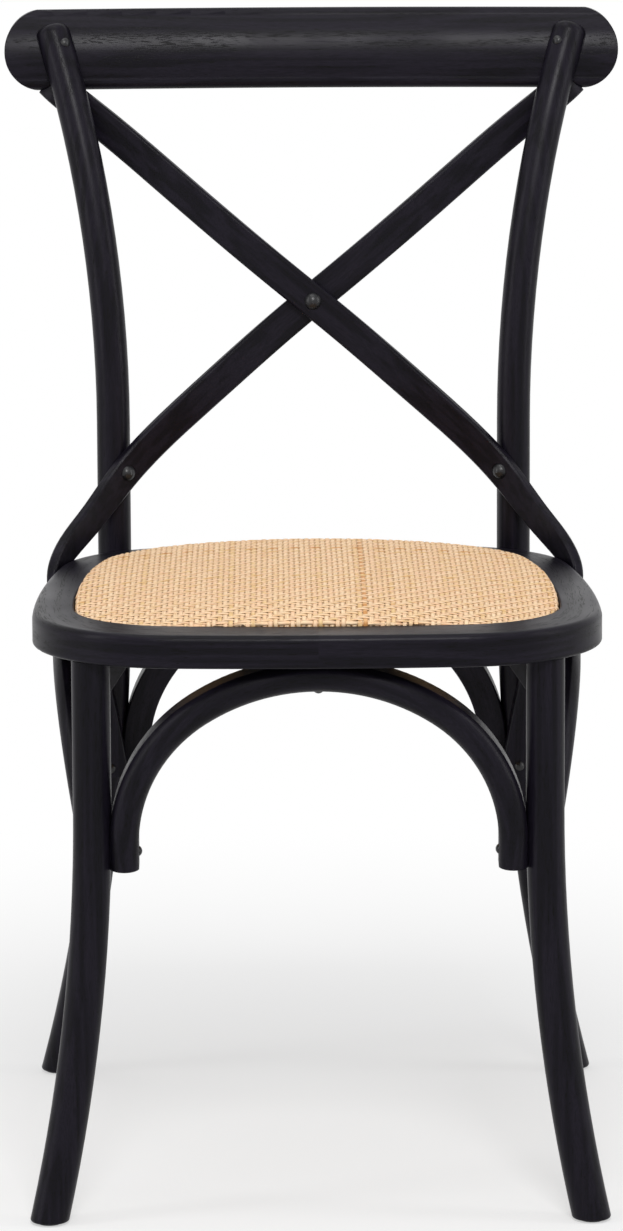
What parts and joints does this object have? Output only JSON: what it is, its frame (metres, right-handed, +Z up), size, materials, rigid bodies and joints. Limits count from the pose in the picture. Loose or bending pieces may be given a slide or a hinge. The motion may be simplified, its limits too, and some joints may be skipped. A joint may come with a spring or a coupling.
{
  "type": "dining chair",
  "caption": "Armless bentwood dining chair with crossed back straps, a bowed crest rail, arched braces under the seat and a woven rattan seat in a wide wooden ring.",
  "frame": {"origin": "on the floor, under the middle of the chair", "axes": "+X to the right as seen from the front, +Y to the back, +Z up"},
  "size_m": [0.49, 0.5009, 0.88],
  "materials": {
    "black_wood": "black stained open-pore wood, satin lacquer",
    "plywood": "raw birch plywood",
    "rattan": "woven natural rattan, matt",
    "foam": "felt and foam pad, hidden",
    "black_steel": "black lacquered steel, satin",
    "glide_plastic": "moulded"
  },
  "bodies": {
    "root": {"seat_ring": "black_wood", "seat_board": "plywood", "seat_padding": "foam", "rattan_seat": "rattan", "crest_rail": "black_wood", "cross_strap_front": "black_wood", "cross_strap_rear": "black_wood", "front_arch": "black_wood", "rear_arch": "black_wood", "back_leg_left": "black_wood", "back_leg_right": "black_wood", "front_leg_left": "black_wood", "front_leg_right": "black_wood", "side_arch_left": "black_wood", "side_arch_right": "black_wood", "corner_block_left": "black_wood", "corner_block_right": "black_wood", "crossing_bolt": "black_steel", "strap_post_bolts": "black_steel", "crest_nails": "black_steel", "strap_top_screws": "black_steel", "strap_seat_screws": "black_steel", "back_leg_bolts": "black_steel", "arch_leg_screws": "black_steel", "arch_seat_screws": "black_steel", "corner_block_screws": "black_steel", "seat_board_screws": "black_steel", "foot_glides": "glide_plastic"}
  },
  "joints": []
}
